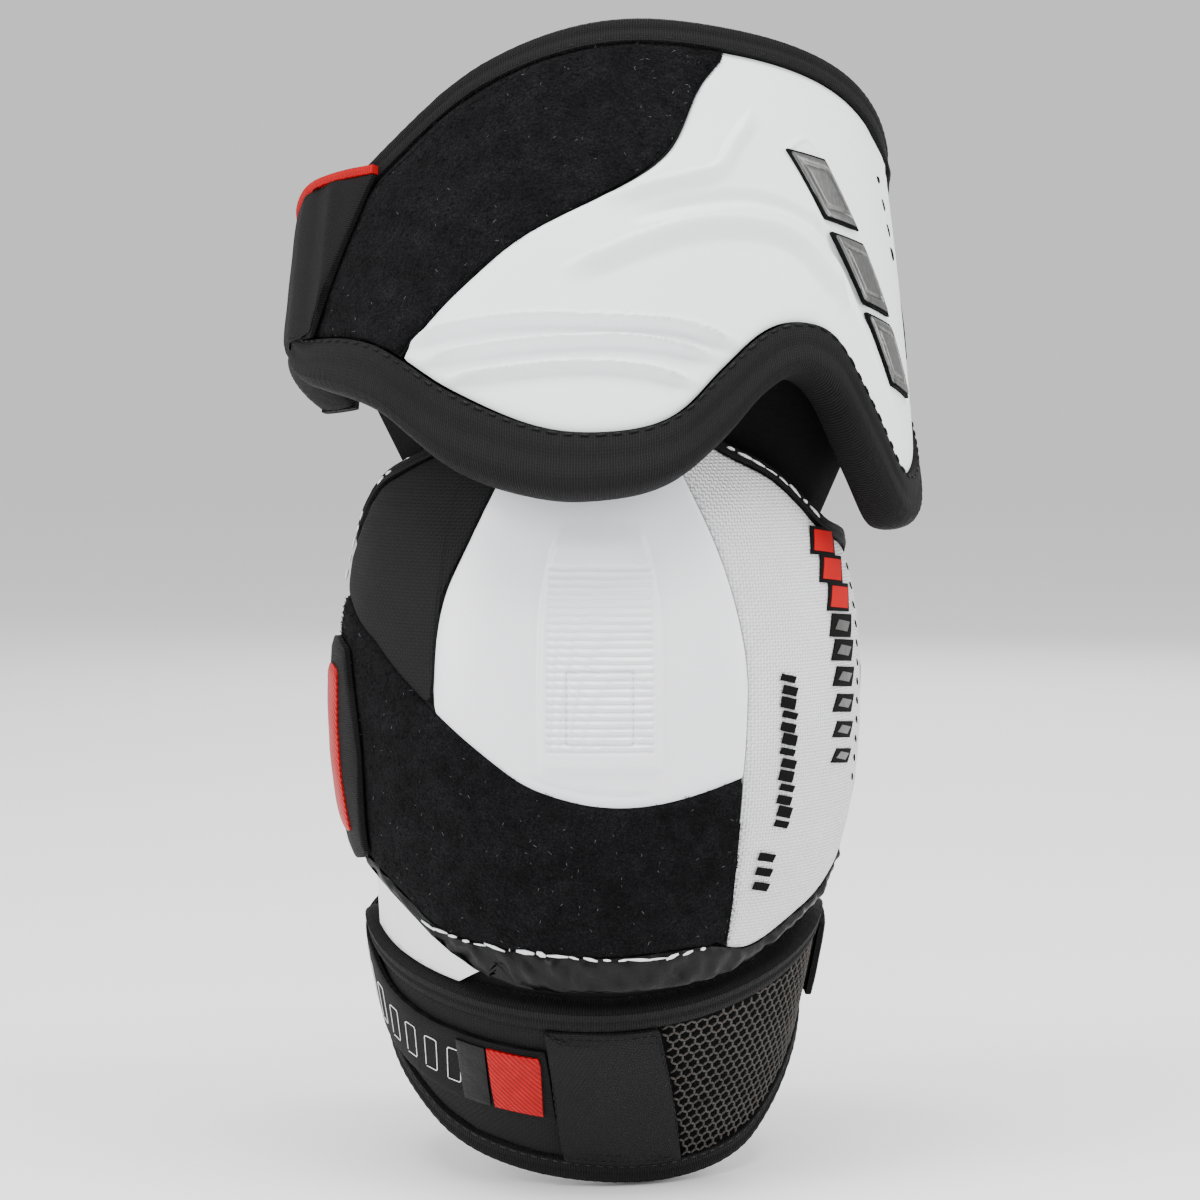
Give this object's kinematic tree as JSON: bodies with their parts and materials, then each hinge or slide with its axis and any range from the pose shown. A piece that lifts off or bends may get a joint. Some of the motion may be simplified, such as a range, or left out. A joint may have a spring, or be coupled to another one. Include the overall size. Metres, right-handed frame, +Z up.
{
  "type": "hockey elbow pad",
  "caption": "Right-arm hockey elbow pad in three hinged sections: a white bicep guard, a capped elbow section and a forearm cuff, each closed by a strap.",
  "frame": {"origin": "on the arm's axis at the height of the elbow's tip, inside the elbow section", "axes": "+Z up along the arm towards the shoulder, -Y towards the outer side of the elbow where the hard cap is, +X to the right seen from that side"},
  "size_m": [0.1858, 0.1584, 0.3354],
  "materials": {
    "white_cap": "smooth satin moulded plastic, white",
    "white_shell": "satin white coated moulded foam",
    "white_weave": "white woven nylon",
    "black_weave": "black fine woven nylon",
    "loop_fabric": "black brushed loop fabric",
    "black_vinyl": "black coated vinyl",
    "binding_tape": "black ribbed binding tape",
    "elastic": "black woven elastic",
    "stretch_knit": "black stretch knit",
    "white_lining": "white lining fabric",
    "liner_fabric": "black wicking liner",
    "foam": "dense closed-cell foam",
    "soft_foam": "soft foam ring",
    "hard_plastic": "rigid moulded plastic insert",
    "hook_tape": "black moulded hook tape",
    "open_mesh": "open black spacer mesh",
    "red_tape": "bright red binding tape",
    "red_print": "red patterned fabric patch",
    "metal_trim": "dark silver moulded trim"
  },
  "bodies": {
    "elbow": {"elbow_cap": "white_cap", "elbow_side_panel": "white_weave", "elbow_woven_panel": "black_weave", "elbow_loop_band": "loop_fabric", "elbow_edge_strip": "black_vinyl", "elbow_top_binding": "binding_tape", "elbow_end_bindings": "binding_tape", "elbow_hard_cup": "hard_plastic", "elbow_centre_foam": "foam", "elbow_left_foam": "foam", "elbow_right_foam": "foam", "elbow_donut_pad": "soft_foam", "elbow_liner": "liner_fabric", "elbow_strap_anchor": "elastic", "upper_gusset": "stretch_knit", "lower_gusset": "stretch_knit", "white_lining": "white_lining"},
    "elbow strap": {"elbow_strap": "elastic", "elbow_strap_hook": "hook_tape", "elbow_strap_badge": "red_print"},
    "bicep guard": {"guard_moulded_shell": "white_shell", "guard_loop_panel": "loop_fabric", "guard_foam": "foam", "guard_liner": "liner_fabric", "guard_top_binding": "binding_tape", "guard_bottom_binding": "binding_tape", "guard_end_bindings": "binding_tape", "guard_emblem_bars": "metal_trim", "guard_strap_anchor": "elastic"},
    "bicep strap": {"guard_strap": "elastic", "guard_strap_hook": "hook_tape", "guard_strap_red_edge": "red_tape"},
    "forearm cuff": {"cuff_foam": "foam", "cuff_liner": "liner_fabric", "cuff_mesh_panel": "open_mesh", "cuff_left_panel": "black_weave", "cuff_elastic_band": "elastic", "cuff_top_binding": "binding_tape", "cuff_bottom_binding": "binding_tape", "cuff_end_bindings": "binding_tape", "cuff_stays": "hard_plastic", "cuff_fixed_strap": "elastic", "cuff_red_patch": "red_print", "cuff_vinyl_patch": "black_vinyl", "cuff_strap": "elastic", "cuff_strap_hook": "hook_tape"}
  },
  "joints": [
    {"name": "bicep_flex", "type": "hinge", "parent": "elbow", "child": "bicep guard", "pos_m": [0, 0.005, 0.075], "axis": [-1, 0, 0], "range_deg": [-4, 30], "deforming": ["upper_gusset"]},
    {"name": "forearm_flex", "type": "hinge", "parent": "elbow", "child": "forearm cuff", "pos_m": [0, -0.005, -0.062], "axis": [1, 0, 0], "range_deg": [0, 28], "deforming": ["lower_gusset", "white_lining"]},
    {"name": "bicep_strap_open", "type": "hinge", "parent": "bicep guard", "child": "bicep strap", "pos_m": [0.04584, 0.06833, 0.10023], "axis": [0, -0.309, -0.9511], "range_deg": [0, 30]},
    {"name": "elbow_strap_open", "type": "hinge", "parent": "elbow", "child": "elbow strap", "pos_m": [0.03866, 0.04715, -0.013], "axis": [0, 0, -1], "range_deg": [0, 30]}
  ]
}
